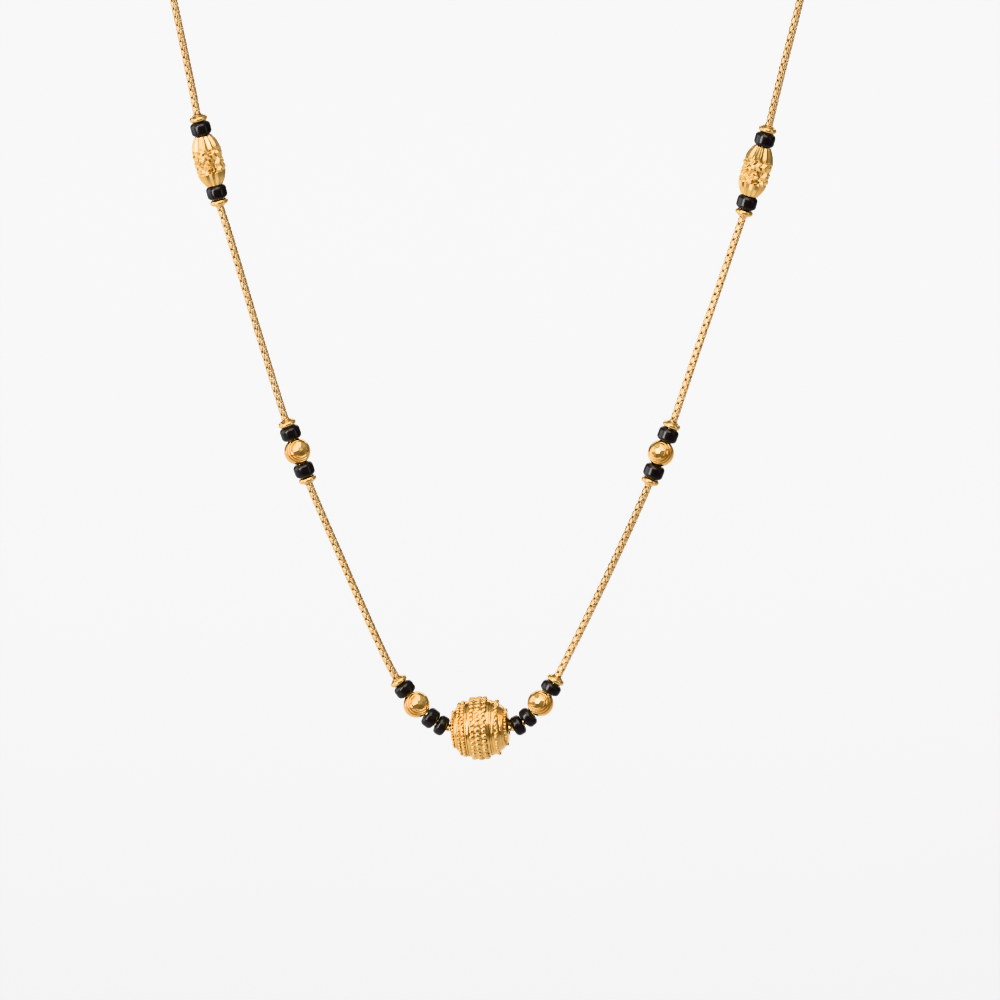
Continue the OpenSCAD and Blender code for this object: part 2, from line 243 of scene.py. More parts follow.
class Strand:
    """One side of the necklace: its smooth curve, the line through the rings of the CAD tube,
    and for each piece its distance with its thickness, its way or half of its reach."""

    def __init__(self, side):
        self.way = SIDES[side]
        dense = smooth_curve(route(side), CURVE_STEPS)
        reach = [0.0]
        for a, b in zip(dense, dense[1:]):
            reach.append(reach[-1] + (b - a).length)
        self.curve = Table(reach, dense)
        places = near_places(side)
        ball, barrel = MIDDLE_BALL[side], BARREL_PLACE[side]
        near = places[4] + RING_CLEAR
        rings = [CHAIN_GAP / 2] + spread(CHAIN_GAP / 2, near, RINGS_NEAR)
        rings += spread(near, ball - MID_CAP - RING_CLEAR, RINGS_LONG)
        above_ball = ball + MID_CAP + RING_CLEAR
        rings.append(above_ball)
        rings += spread(above_ball, barrel - TOP_CAP - RING_CLEAR, RINGS_LONG)
        above_barrel = barrel + TOP_CAP + RING_CLEAR
        rings.append(above_barrel)
        rings += spread(above_barrel, self.curve.end, RINGS_NECK)
        self.line = Table(rings, [self.curve.at(s) for s in rings])
        self.places = {
            "bead_1": (places[0], THIN_THICKNESS),
            "bead_2": (places[1], INNER_THICKNESS[side]),
            "ball_1": (places[2], BALL_RADIUS / 2),
            "bead_3": (places[3], INNER_THICKNESS[side]),
            "cap_1": (places[4], 1),
            "cap_2": (ball - MID_CAP, -1),
            "bead_4": (ball - MID_BEAD, BEAD_THICKNESS),
            "ball_2": (ball, BALL_RADIUS / 2),
            "bead_5": (ball + MID_BEAD, BEAD_THICKNESS),
            "cap_3": (ball + MID_CAP, 1),
            "cap_4": (barrel - TOP_CAP, -1),
            "bead_6": (barrel - TOP_BEAD, BEAD_THICKNESS),
            "barrel": (barrel, BARREL_LENGTH),
            "bead_7": (barrel + TOP_BEAD, BEAD_THICKNESS),
            "cap_5": (barrel + TOP_CAP, 1),
        }

    def seat(self, distance, half, aim=0.0):
        """The place and turn of a piece, its bore along the line there or the aim further on."""
        toward = distance + aim
        ahead = (self.line.at(toward + half) - self.line.at(toward - half)).normalized()
        across = ahead.cross(FACING).normalized()
        front = across.cross(ahead)
        turn = Matrix((front, across, ahead)).transposed().to_4x4()
        return Matrix.Translation(self.line.at(distance)) @ turn


STRANDS = {side: Strand(side) for side in SIDES}


def threaded(kind):
    """The pieces of a kind: the node, strand and distance of each, and its second value there."""
    for side, strand in STRANDS.items():
        for name, (distance, value) in strand.places.items():
            if name.startswith(kind):
                yield side + "_" + name, strand, distance, value


COLOUR = {"subtype": "COLOR", "size": 3, "min": 0, "max": 1}
POWER = {"subtype": "POWER", "unit": "POWER", "min": 0, "max": 200}


class GoldColours(bpy.types.PropertyGroup):
    """Colours of the gold and of the glass."""

    polished: FloatVectorProperty(
        name="Polished Gold", description="Gold of the small balls, barrels, caps and clasp",
        default=(0.94, 0.65, 0.285), **COLOUR)
    cast: FloatVectorProperty(
        name="Cast Gold", description="Gold of the centre ball",
        default=(0.93, 0.625, 0.26), **COLOUR)
    links: FloatVectorProperty(
        name="Chain Gold", description="Gold of the box chain",
        default=(0.94, 0.73, 0.43), **COLOUR)
    # painted shade in the gaps of a relief: the colour that the gold is mixed towards where
    # ambient occlusion finds it sheltered from light
    painted_crevice_shade: FloatVectorProperty(
        name="Crevice Shade", description="Gold that is darkened in the gaps of a relief",
        default=(0.34, 0.14, 0.02), **COLOUR)
    glass: FloatVectorProperty(
        name="Black Glass", description="Glass of the beads",
        default=(0.0105, 0.009, 0.0092), **COLOUR)


class LinkSizes(bpy.types.PropertyGroup):
    """Sizes of one link of the box chain, in millimetres."""

    width: FloatProperty(
        name="Width", description="Outer width of a square link", default=0.92, min=0.7, max=1.05)
    pitch: FloatProperty(
        name="Pitch", description="Distance between two links", default=0.622, min=0.5, max=0.8)
    strip: FloatProperty(
        name="Strip", description="Width of the strip that a link is bent from",
        default=0.55, min=0.3, max=0.6)
    plate: FloatProperty(
        name="Plate", description="Width of the strip where it bulges between two links",
        default=0.74, min=0.3, max=0.9)
    gauge: FloatProperty(
        name="Gauge", description="Thickness of the strip", default=0.18, min=0.1, max=0.2)
    corner: FloatProperty(
        name="Corner", description="Cut of the corners of a link", default=0.13, min=0.05, max=0.2)
    roll: FloatProperty(
        name="Roll", description="Turn of the links round the strand", subtype="ANGLE",
        default=math.radians(40), min=0, max=math.pi / 2)
    wander: FloatProperty(
        name="Wander", description="Slow change of the turn along the strand", subtype="ANGLE",
        default=math.radians(7), min=0, max=math.radians(20))


class ReliefSizes(bpy.types.PropertyGroup):
    """Sizes of the relief on the gold pieces, in millimetres."""

    grain: FloatProperty(
        name="Granule", description="Length of a granule on the side ridges of the centre ball",
        default=0.56, min=0.3, max=0.8)
    pitch: FloatProperty(
        name="Pitch", description="Distance between two granules of a row",
        default=0.5, min=0.4, max=0.8)
    tall: FloatProperty(
        name="Tall", description="Height of a granule over the ridge",
        default=0.23, min=0.1, max=0.3)
    nugget: FloatProperty(
        name="Nugget", description="How far the facets of the barrels stand out",
        default=0.16, min=0.03, max=0.2)
    flute: FloatProperty(
        name="Flute", description="Depth of the flutes at the ends of the barrels",
        default=0.15, min=0.02, max=0.2)
    groove: FloatProperty(
        name="Groove", description="Radius of the round cuts in the small balls",
        default=0.18, min=0.05, max=0.2)


class StageSizes(bpy.types.PropertyGroup):
    """The studio that the necklace is shown in."""

    floor: FloatProperty(
        name="Floor", description="Height of the floor",
        subtype="DISTANCE", unit="LENGTH", default=-0.6, min=-1, max=-0.16)
    paper: FloatVectorProperty(
        name="Paper", description="Colour of the floor and the wall behind",
        default=(0.5, 0.5, 0.504), **COLOUR)
    key: FloatProperty(
        name="Key Light", description="Power of the tall soft light at the upper left",
        default=18.5, **POWER)
    side: FloatProperty(
        name="Side Light", description="Power of the wide soft light at the left",
        default=9, **POWER)
    top: FloatProperty(
        name="Top Light", description="Power of the wide soft light overhead",
        default=17, **POWER)
    back: FloatProperty(
        name="Paper Light", description="Power of the light on the paper behind the necklace",
        default=20, **POWER)
    fill: FloatProperty(
        name="Fill Light", description="Power of the soft light at the right",
        default=1, **POWER)
    sky: FloatProperty(
        name="Room Light", description="Strength of the light from all round",
        default=0.55, min=0, max=4)
    rise: FloatProperty(
        name="Rise", description="How far the camera looks down on the leaning front",
        subtype="ANGLE", default=math.radians(9.5), min=0, max=math.radians(30))
    away: FloatProperty(
        name="Distance", description="Distance of the camera from the necklace",
        subtype="DISTANCE", unit="LENGTH", default=2, min=0.5, max=4)


def alone(piece):
    """Selects one object alone and makes it the active one."""
    bpy.ops.object.select_all(action="DESELECT")
    piece.select_set(True)
    bpy.context.view_layer.objects.active = piece


def placed(name, mesh):
    """A new object in the scene with this mesh."""
    piece = bpy.data.objects.new(name, mesh)
    bpy.context.scene.collection.objects.link(piece)
    return piece


def join(pieces):
    """Joins all the pieces into the first one."""
    alone(pieces[0])
    for piece in pieces[1:]:
        piece.select_set(True)
    bpy.ops.object.join()


def add(operator, **sizes):
    """Adds an object by an operator, with nothing else selected."""
    bpy.ops.object.select_all(action="DESELECT")
    operator(**sizes)
    return bpy.context.active_object


def begin(name, operator, **sizes):
    """Adds a primitive at its size and leaves it in edit mode."""
    piece = add(operator, **sizes)
    piece.name = piece.data.name = name
    bpy.ops.object.mode_set(mode="EDIT")
    return piece


def choose(piece, kind, test):
    """Selects the vertices, edges or faces that pass a test, and nothing else."""
    bpy.ops.mesh.select_mode(type=kind)
    bpy.ops.mesh.select_all(action="DESELECT")
    mesh = bmesh.from_edit_mesh(piece.data)
    parts = {"VERT": mesh.verts, "EDGE": mesh.edges, "FACE": mesh.faces}[kind]
    for part in parts:
        if test(part):
            part.select_set(True)
    mesh.select_flush_mode()
    bmesh.update_edit_mesh(piece.data)


def resize(*value):
    """Scales what is selected in edit mode from the middle of the piece."""
    bpy.ops.transform.resize(value=value, center_override=(0, 0, 0))


def bisect(point, normal, **settings):
    """Cuts the whole piece in edit mode along a plane."""
    bpy.ops.mesh.select_all(action="SELECT")
    bpy.ops.mesh.bisect(plane_co=point, plane_no=normal, **settings)


def modify(piece, kind, **settings):
    """Adds a modifier with these settings and applies it."""
    alone(piece)
    bpy.ops.object.modifier_add(type=kind)
    modifier = piece.modifiers[-1]
    for name, value in settings.items():
        setattr(modifier, name, value)
    bpy.ops.object.modifier_apply(modifier=modifier.name)


def cut(piece, cutter):
    """Takes the shape of a cutter out of a piece and removes the cutter."""
    modify(piece, "BOOLEAN", operation="DIFFERENCE", solver="EXACT", object=cutter)
    discard(cutter)


def shade(piece, angle):
    """Shades a piece smooth, with edges sharper than the angle in degrees kept."""
    alone(piece)
    bpy.ops.object.shade_smooth_by_angle(angle=math.radians(angle), keep_sharp_edges=False)


def face_outwards():
    """Turns all faces of the piece in edit mode outwards."""
    bpy.ops.mesh.select_all(action="SELECT")
    bpy.ops.mesh.normals_make_consistent(inside=False)


def close_up():
    """Merges the doubles of the piece in edit mode and turns its faces outwards."""
    bpy.ops.mesh.select_all(action="SELECT")
    bpy.ops.mesh.remove_doubles(threshold=MERGE)
    face_outwards()


def turned(name, rows, count, ring=True):
    """Turns a piece row by row: a circle is extruded along Z and scaled to each radius. A ring
    ends where it begins and is closed up there."""
    height, radius = rows[0]
    piece = begin(name, bpy.ops.mesh.primitive_circle_add, vertices=count, radius=radius)
    bpy.ops.mesh.select_all(action="SELECT")
    bpy.ops.transform.translate(value=(0, 0, height))
    for up, out in rows[1:]:
        bpy.ops.mesh.extrude_edges_move(TRANSFORM_OT_translate={"value": (0, 0, up - height)})
        share = out / radius
        resize(share, share, 1)
        height, radius = up, out
    if ring:
        close_up()
    bpy.ops.object.mode_set(mode="OBJECT")
    return piece


def arc(across, up, radius, start, stop, steps):
    """Rows along a round of a profile, as pairs of height and radius from the bore."""
    turns = [math.radians(start + (stop - start) * i / steps) for i in range(steps + 1)]
    return [(up + radius * math.sin(a), across + radius * math.cos(a)) for a in turns]


def settle(piece, name, seat, finish, slot, *nodes):
    """Puts a copy of a modelled piece, with its own mesh and finish, in its place in metres."""
    mesh = piece.data.copy()
    mesh.transform(Matrix.Scale(MILLIMETRE, 4) @ seat)
    mesh.name = name
    mesh.materials.clear()
    mesh.materials.append(finish_of(finish))
    copy = placed(name, mesh)
    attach(copy, "root")
    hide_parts(*nodes)


def discard(*pieces):
    """Removes models that have served."""
    for piece in pieces:
        bpy.data.meshes.remove(piece.data)


def new_material(name):
    """A new node material: itself, its nodes, its surface shader and its object coordinates."""
    material = bpy.data.materials.new(name)
    material.use_nodes = True
    tree = material.node_tree
    tree.nodes.clear()
    output = tree.nodes.new("ShaderNodeOutputMaterial")
    surface = tree.nodes.new("ShaderNodeBsdfPrincipled")
    tree.links.new(surface.outputs["BSDF"], output.inputs["Surface"])
    place = tree.nodes.new("ShaderNodeTexCoord")
    return material, tree, surface, place.outputs["Object"]


def fill(node, values):
    """Sets the sockets of a node."""
    for name, value in values.items():
        node.inputs[name].default_value = value


def noise(tree, place, scale, detail, rough=0.5):
    """Noise of a scale given in repeats for each millimetre."""
    node = tree.nodes.new("ShaderNodeTexNoise")
    fill(node, {"Scale": scale / MILLIMETRE, "Detail": detail, "Roughness": rough})
    tree.links.new(place, node.inputs["Vector"])
    return node.outputs["Fac"]


def ramp(tree, value, stops):
    """Colours spread over a value."""
    node = tree.nodes.new("ShaderNodeValToRGB")
    band = node.color_ramp
    while len(band.elements) < len(stops):
        band.elements.new(0.5)
    for element, (at, colour) in zip(band.elements, stops):
        element.position = at
        element.color = (*colour, 1)
    tree.links.new(value, node.inputs["Fac"])
    return node.outputs["Color"]


def between(tree, value, low, high, first=0.3, last=0.7):
    """A value spread between two others."""
    node = tree.nodes.new("ShaderNodeMapRange")
    fill(node, {"From Min": first, "From Max": last, "To Min": low, "To Max": high})
    tree.links.new(value, node.inputs["Value"])
    return node.outputs["Result"]


def raised(tree, surface, value, depth, strength):
    """Bump on the surface of a depth in millimetres, on top of what is there."""
    node = tree.nodes.new("ShaderNodeBump")
    fill(node, {"Distance": depth * MILLIMETRE, "Strength": strength})
    tree.links.new(value, node.inputs["Height"])
    if surface.inputs["Normal"].is_linked:
        tree.links.new(surface.inputs["Normal"].links[0].from_socket, node.inputs["Normal"])
    tree.links.new(node.outputs["Normal"], surface.inputs["Normal"])


def shaded(colour, share):
    """A darker or lighter tone of a colour."""
    return tuple(min(1.0, c * share) for c in colour)


def gold_finish(name, colour, painted_crevice_shade, low, high, reach):
    """Gold: a cloudy tone, fine wear in the gloss, a soft hammered surface and painted shade in
    the crevices.
    """
    material, tree, surface, place = new_material(name)
    redder = (colour[0], colour[1] * 0.86, colour[2] * 0.7)
    cloud = noise(tree, place, scale=0.9, detail=3)
    tone = ramp(tree, cloud, [(0.32, redder), (0.68, shaded(colour, 1.06))])
    # painted shade: ambient occlusion mixes the gold towards the crevice shade colour in gaps and
    # hollows, where less light reaches
    crevice_occlusion = tree.nodes.new("ShaderNodeAmbientOcclusion")
    crevice_occlusion.samples = 8
    fill(crevice_occlusion, {"Distance": reach * MILLIMETRE})
    mix = tree.nodes.new("ShaderNodeMix")
    mix.data_type = "RGBA"
    unshaded_share = between(tree, crevice_occlusion.outputs["AO"], 0, 1, first=0.3, last=0.85)
    tree.links.new(unshaded_share, mix.inputs["Factor"])
    fill(mix, {"A": (*painted_crevice_shade, 1)})
    tree.links.new(tone, mix.inputs["B"])
    tree.links.new(mix.outputs["Result"], surface.inputs["Base Color"])
    fill(surface, {"Metallic": 1.0})
    wear = noise(tree, place, scale=5, detail=4, rough=0.6)
    tree.links.new(between(tree, wear, low, high), surface.inputs["Roughness"])
    raised(tree, surface, noise(tree, place, scale=1.6, detail=2), depth=0.02, strength=0.35)
    scratches = noise(tree, place, scale=9, detail=4, rough=0.6)
    raised(tree, surface, scratches, depth=0.004, strength=0.4)
    return material


def glass_finish(name, colour):
    """Black glass: glossy, with a faint wave from the furnace and a fine haze."""
    material, tree, surface, place = new_material(name)
    cloud = noise(tree, place, scale=0.7, detail=2)
    tone = ramp(tree, cloud, [(0.3, colour), (0.7, shaded(colour, 1.4))])
    tree.links.new(tone, surface.inputs["Base Color"])
    haze = noise(tree, place, scale=4, detail=4, rough=0.6)
    tree.links.new(between(tree, haze, low=0.17, high=0.26), surface.inputs["Roughness"])
    fill(surface, {"IOR": 1.5, "Specular IOR Level": 0.45})
    raised(tree, surface, noise(tree, place, scale=0.8, detail=1), depth=0.03, strength=0.3)
    raised(tree, surface, noise(tree, place, scale=7, detail=3), depth=0.003, strength=0.3)
    return material


def finish_of(name):
    """The finish with this name, made the first time that it is asked for."""
    colours = bpy.context.scene.mangalsutra_colours
    if name in bpy.data.materials:
        return bpy.data.materials[name]
    if name == "black_glass_beads":
        return glass_finish(name, tuple(colours.glass))
    colour, low, high, reach = GOLD_LOOKS[name]
    colour = tuple(getattr(colours, colour))
    return gold_finish(name, colour, tuple(colours.painted_crevice_shade), low, high, reach)


class MANGALSUTRA_OT_chains(bpy.types.Operator):
    """Models one square link and hangs it along both strands, each link turned by a quarter"""

    bl_idname = "mangalsutra.chains"
    bl_label = "Box Chains"

    # millimetres: where the plates begin and end to bulge, the first link's place past the gap,
    # half of the step that a link's direction is read over, the waves of the wander, and the
    # stretch before the clasp in which the links come upright
    bulge = (0.19, 0.3)
    lead = 0.3
    step = 0.2
    wave = 11
    upright_reach = 70

    def link(self, sizes):
        """One square link bent from a strip, its opening along Y."""
        link = begin("box_link", bpy.ops.mesh.primitive_cube_add, size=1)
        bpy.ops.mesh.select_all(action="SELECT")
        resize(sizes.width, sizes.strip, sizes.pitch + 2 * sizes.gauge)
        choose(link, "FACE", lambda face: abs(face.normal.y) > 0.9)
        bpy.ops.mesh.delete(type="ONLY_FACE")
        choose(link, "EDGE", lambda edge: abs(edge.verts[0].co.y - edge.verts[1].co.y) > 0.1)
        bpy.ops.mesh.bevel(offset=sizes.corner, offset_type="OFFSET", segments=1, affect="EDGES")
        # the side plates bulge in their middle, where no other link lies beside them
        inner, outer = self.bulge
        for height in (-outer, -inner, inner, outer):
            bisect((0, 0, height), (0, 0, 1))
        choose(link, "VERT", lambda vertex: abs(vertex.co.z) < (inner + outer) / 2)
        resize(1, sizes.plate / sizes.strip, 1)
        bpy.ops.object.mode_set(mode="OBJECT")
        modify(link, "SOLIDIFY", thickness=sizes.gauge, offset=-1, use_even_offset=True)
        modify(link, "BEVEL", width=0.035, segments=1, limit_method="ANGLE",
               angle_limit=math.radians(60))
        shade(link, 50)
        return link

    def frames(self, strand, places):
        """For each place its distance, the way along the strand and a front that doesn't twist,
        carried from the centre ball and given back from the clasp."""
        front = FACING.copy()
        frames = []
        for distance in reversed(places):
            ahead = strand.at(distance + self.step) - strand.at(distance - self.step)
            ahead.normalize()
            front = (front - front.dot(ahead) * ahead).normalized()
            frames.append((distance, ahead, front.copy()))
        return frames[::-1]

    def execute(self, context):
        sizes = context.scene.mangalsutra_links
        link = self.link(sizes)
        for side in SIDES:
            strand = STRANDS[side].curve
            first = CHAIN_GAP / 2 + self.lead
            # the far bar of the last link lies inside the eye
            last = strand.end + (CHAIN_END - (EYE_AT + EYE_INNER) - sizes.pitch / 2)
            count = round((last - first) / sizes.pitch)
            places = [last - (last - first) * i / count for i in range(count + 1)]
            frames = self.frames(strand, places)
            # the turn that brings the last link upright, its opening along the wire of the eye
            upright = Vector((0, 0, 1))
            ahead, front = frames[0][1:]
            twist = math.atan2(front.cross(upright).dot(ahead), front.dot(upright))
            start_twist = strand.end - self.upright_reach
            links = []
            for number, (distance, ahead, front) in enumerate(frames):
                share = min(1.0, max(0.0, (distance - start_twist) / (last - start_twist)))
                share = share * share * (3 - 2 * share)
                free = sizes.roll + sizes.wander * math.sin(distance / self.wave + SIDES[side])
                roll = free * (1 - share) + twist * share + math.pi / 2 * (number % 2)
                across = Matrix.Rotation(roll, 3, ahead) @ front
                turn = Matrix((across, ahead.cross(across), ahead)).transposed().to_4x4()
                mesh = link.data.copy()
                mesh.transform(Matrix.Translation(strand.at(distance)) @ turn)
                links.append(placed("link", mesh))
            join(links)
            settle(links[0], side + "_chain_links", Matrix.Identity(4), "chain_gold_links",
                   "chain_gold", side + "_chain")
            discard(links[0])
        discard(link)
        return {"FINISHED"}


class MANGALSUTRA_OT_centre_ball(bpy.types.Operator):
    """Turns the cast centre ball with ridges, smooth bands and slits, and sets its granules"""

    bl_idname = "mangalsutra.centre_ball"
    bl_label = "Centre Ball"

    # distance along the bore and radius, the ridges lowered to seat their granules
    profile = [
        (0, 4.6), (0.4, 4.59), (0.8, 4.54), (1.02, 4.47), (1.1, 4.42), (1.14, 4.34),
        (1.16, 4.27), (1.2, 4.25), (1.3, 4.27), (1.45, 4.27), (1.6, 4.25), (1.69, 4.22),
        (1.71, 4.08), (1.77, 4.07), (1.79, 4.19), (1.87, 4.2), (1.95, 4.18), (2.02, 4.1),
        (2.06, 4.02), (2.18, 4.06), (2.45, 4.02), (2.7, 3.9), (2.95, 3.73), (3.08, 3.58),
        (3.14, 3.42), (3.2, 3.4), (3.3, 3.43), (3.4, 3.37), (3.45, 3.22), (3.52, 3.22),
        (3.6, 3.18), (3.7, 3.0), (3.9, 2.74), (4.1, 2.4), (4.25, 2.05), (4.36, 1.7),
        (4.4, 1.36),
    ]
    # ridges: size of their granules and the distances along the bore of the rows
    ridges = [(1.72, (-0.84, 0, 0.84)), (1.42, (2.6,)), (1.2, (-2.32, -2.88)),
              (0.96, (3.96,)), (0.96, (-3.96,))]
    # how far a granule is sunk, the reach that its slope is read over, and its lean in degrees
    sink = 0.02
    slope_reach = 0.15
    lean = 30

    def radius(self, height):
        """Radius of the turned ball at a distance along its bore."""
        return float(np.interp(abs(height), *zip(*self.profile)))

    def execute(self, context):
        sizes = context.scene.mangalsutra_relief
        outer = [(-z, r) for z, r in reversed(self.profile[1:])] + list(self.profile)
        end = HALF_CENTRE
        bore = CENTRE_BORE / 2
        rows = outer + [(end - 0.02, bore + 0.12), (end - 0.14, bore), (-end + 0.14, bore),
                        (-end + 0.02, bore + 0.12), outer[0]]
        ball = turned("cast_ball", rows, 144)
        shade(ball, 40)

        granule = begin("granule", bpy.ops.mesh.primitive_ico_sphere_add, subdivisions=2, radius=1)
        bisect((0, 0, -0.3), (0, 0, 1), clear_inner=True)
        bpy.ops.object.mode_set(mode="OBJECT")
        shade(granule, 60)

        chance = random.Random(7)
        pieces = [ball]
        for size, ridge in self.ridges:
            for row, height in enumerate(ridge):
                radius = self.radius(height)
                reach = self.slope_reach
                climb = self.radius(height + reach) - self.radius(height - reach)
                slope = math.atan2(climb, 2 * reach)
                count = round(2 * math.pi * radius / (sizes.pitch * size))
                # every other row is set half a granule on and leans the other way
                stagger, lean = (0.5, -self.lean) if row % 2 else (0, self.lean)
                for i in range(count):
                    angle = 2 * math.pi * (i + stagger + chance.uniform(-0.14, 0.14)) / count
                    long = sizes.grain * size / 2 * chance.uniform(0.9, 1.2)
                    wide = long * chance.uniform(0.76, 0.95)
                    tall = sizes.tall * chance.uniform(0.75, 1.15)
                    place = (radius - self.sink, 0, height + chance.uniform(-0.04, 0.04))
                    roll = math.radians(lean + chance.uniform(-14, 14))
                    mesh = granule.data.copy()
                    mesh.transform(Matrix.Rotation(angle, 4, "Z")
                                   @ Matrix.Translation(place)
                                   @ Matrix.Rotation(-slope, 4, "Y")
                                   @ Matrix.Rotation(math.pi / 2, 4, "Y")
                                   @ Matrix.Rotation(roll, 4, "Z")
                                   @ Matrix.Diagonal((long, wide, tall, 1)))
                    pieces.append(placed("granule", mesh))
        join(pieces)
        seat = (Matrix.Translation(leaning(*LOW))
                @ Matrix.Rotation(-CENTRE_SWING, 4, "Z")
                @ Matrix.Rotation(math.pi / 2 - CENTRE_TURN, 4, "Y"))
        settle(ball, "centre_ball_cast", seat, "cast_gold_relief", "cast_gold", "centre_ball")
        discard(ball, granule)
        return {"FINISHED"}


class MANGALSUTRA_OT_barrels(bpy.types.Operator):
    """Turns a gold barrel with fluted ends and a faceted band, and threads it on both sides"""

    bl_idname = "mangalsutra.barrels"
    bl_label = "Barrels"

    # half of the outline: shares of the length from the end, and of the way out to the band
    cone = [(0.0, 0.0), (0.02, 0.05), (0.07, 0.33), (0.13, 0.6), (0.19, 0.8), (0.255, 0.94)]
    band = [(0.3, 0.98), (0.366, 1.0), (0.433, 1.0), (0.5, 1.0)]
    band_edge = 0.27
    # millimetres left for the uneven facets, and how far their points are moved
    facet_room = 0.06
    unevenness = 0.18

    def barrel(self, sizes):
        """A turned barrel: flutes on its cones and pointed facets on its band."""
        small, large = BARREL_END / 2, BARREL_DIAMETER / 2
        end = BARREL_LENGTH / 2
        count = 2 * FLUTES
        half = [((share - 0.5) * BARREL_LENGTH, small + out * (large - small - self.facet_room))
                for share, out in self.cone + self.band]
        outer = half + [(-z, r) for z, r in reversed(half[:-1])]
        rows = outer + [(end - 0.01, BORE_RADIUS + 0.1), (end - 0.1, BORE_RADIUS),
                        (-end + 0.1, BORE_RADIUS), (-end + 0.01, BORE_RADIUS + 0.1), outer[0]]
        barrel = turned("barrel", rows, count)
        bpy.ops.object.mode_set(mode="EDIT")
        edge = (0.5 - self.band_edge) * BARREL_LENGTH

        def number(vertex):
            return round(math.atan2(vertex.co.y, vertex.co.x) / (2 * math.pi) * count) % count

        def outside(vertex):
            return math.hypot(vertex.co.x, vertex.co.y) > BORE_RADIUS + 0.2

        # every other line of the cones is sunk to make the flutes, a little less at the mouths
        mouth = end - 0.3
        for low, high, depth in ((edge, mouth, 1.0), (mouth, end + 1, 0.75)):
            choose(barrel, "VERT", lambda v: outside(v) and low < abs(v.co.z) <= high
                   and number(v) % 2 == 1)
            share = 1 - 2 * sizes.flute * depth / large
            resize(share, share, 1)
        # every other point of the band is sunk, the rows in turn, so that the others stand out
        heights = sorted({round(z, 4) for z, r in outer if abs(z) < edge})
        for row, height in enumerate(heights):
            choose(barrel, "VERT", lambda v: outside(v) and abs(v.co.z - height) < 0.01
                   and (number(v) + row) % 2 == 0)
            share = 1 - 2 * sizes.nugget / large
            resize(share, share, 1)
        choose(barrel, "VERT", lambda v: outside(v) and abs(v.co.z) < edge)
        bpy.ops.transform.vertex_random(offset=self.unevenness, seed=3)
        choose(barrel, "FACE",
               lambda f: all(outside(v) and abs(v.co.z) < edge + 0.12 for v in f.verts))
        bpy.ops.mesh.quads_convert_to_tris(quad_method="SHORTEST_DIAGONAL")
        bpy.ops.object.mode_set(mode="OBJECT")
        modify(barrel, "BEVEL", width=0.02, segments=1, limit_method="ANGLE",
               angle_limit=math.radians(22))
        shade(barrel, 14)
        return barrel

    def execute(self, context):
        barrel = self.barrel(context.scene.mangalsutra_relief)
        for node, strand, distance, length in threaded("barrel"):
            seat = strand.seat(distance, length / 2)
            settle(barrel, node + "_cut", seat, "polished_gold", "gold", node)
        discard(barrel)
        return {"FINISHED"}


class MANGALSUTRA_OT_small_balls(bpy.types.Operator):
    """Cuts facets and round grooves in a polished ball, bores it and threads four of them"""

    bl_idname = "mangalsutra.small_balls"
    bl_label = "Small Balls"

    # flats: how far out the middle one and the points of the star lie, in radii, and their lean
    pole_flat = 0.968
    star_flat = 0.962
    star_lean = math.radians(22)
    star_points = 6
    # cuts: how far out their rings lie, in radii, and each ring's angle from the pole and its tip
    ring_share = 1.03
    crescents = ((33, 12), (45, 10), (57, 9))

    def ball(self, sizes):
        """A ball with a star of flats round its pole, on Z, and crescent cuts, both ends alike."""
        ball = begin("small_ball", bpy.ops.mesh.primitive_uv_sphere_add, segments=96,
                     ring_count=64, radius=BALL_RADIUS)
        out, up = math.sin(self.star_lean), math.cos(self.star_lean)
        for pole in (1, -1):
            flats = [(self.pole_flat, Vector((0, 0, pole)))]
            for i in range(self.star_points):
                angle = 2 * math.pi * (i + 0.25) / self.star_points
                away = Vector((out * math.cos(angle), out * math.sin(angle), pole * up))
                flats.append((self.star_flat, away))
            for share, away in flats:
                bisect(away * BALL_RADIUS * share, away, use_fill=True, clear_outer=True)
        face_outwards()
        bpy.ops.object.mode_set(mode="OBJECT")
        reach = BALL_RADIUS * self.ring_share
        for pole in (1, -1):
            for angle, tip in self.crescents:
                away = math.radians(angle)
                cut(ball, add(
                    bpy.ops.mesh.primitive_torus_add,
                    major_radius=reach * math.sin(away), minor_radius=sizes.groove,
                    major_segments=96, minor_segments=24,
                    location=(0, 0, pole * reach * math.cos(away)),
                    rotation=(0, pole * math.radians(tip), 0)))
        return ball

    def execute(self, context):
        ball = self.ball(context.scene.mangalsutra_relief)
        for node, strand, distance, half in threaded("ball"):
            seat = strand.seat(distance, half)
            # the pole leans to the middle of the necklace and up, the crescents lie opposite
            pole = Vector((-strand.way * 0.25, -0.79, 0.55)).normalized()
            out = Vector((strand.way, -0.33, -0.73))
            out = (out - out.dot(pole) * pole).normalized()
            turn = Matrix((out, pole.cross(out), pole)).transposed().to_4x4()
            piece = placed("small_ball", ball.data.copy())
            piece.data.transform(turn)
            drill = add(bpy.ops.mesh.primitive_cylinder_add, vertices=48, radius=BORE_RADIUS,
                        depth=1.5 * BALL_DIAMETER)
            drill.data.transform(Matrix.Translation(-seat.translation) @ seat)
            cut(piece, drill)
            shade(piece, 16)
            settle(piece, node + "_cut", Matrix.Translation(seat.translation), "polished_gold",
                   "gold", node)
            discard(piece)
        discard(ball)
        return {"FINISHED"}


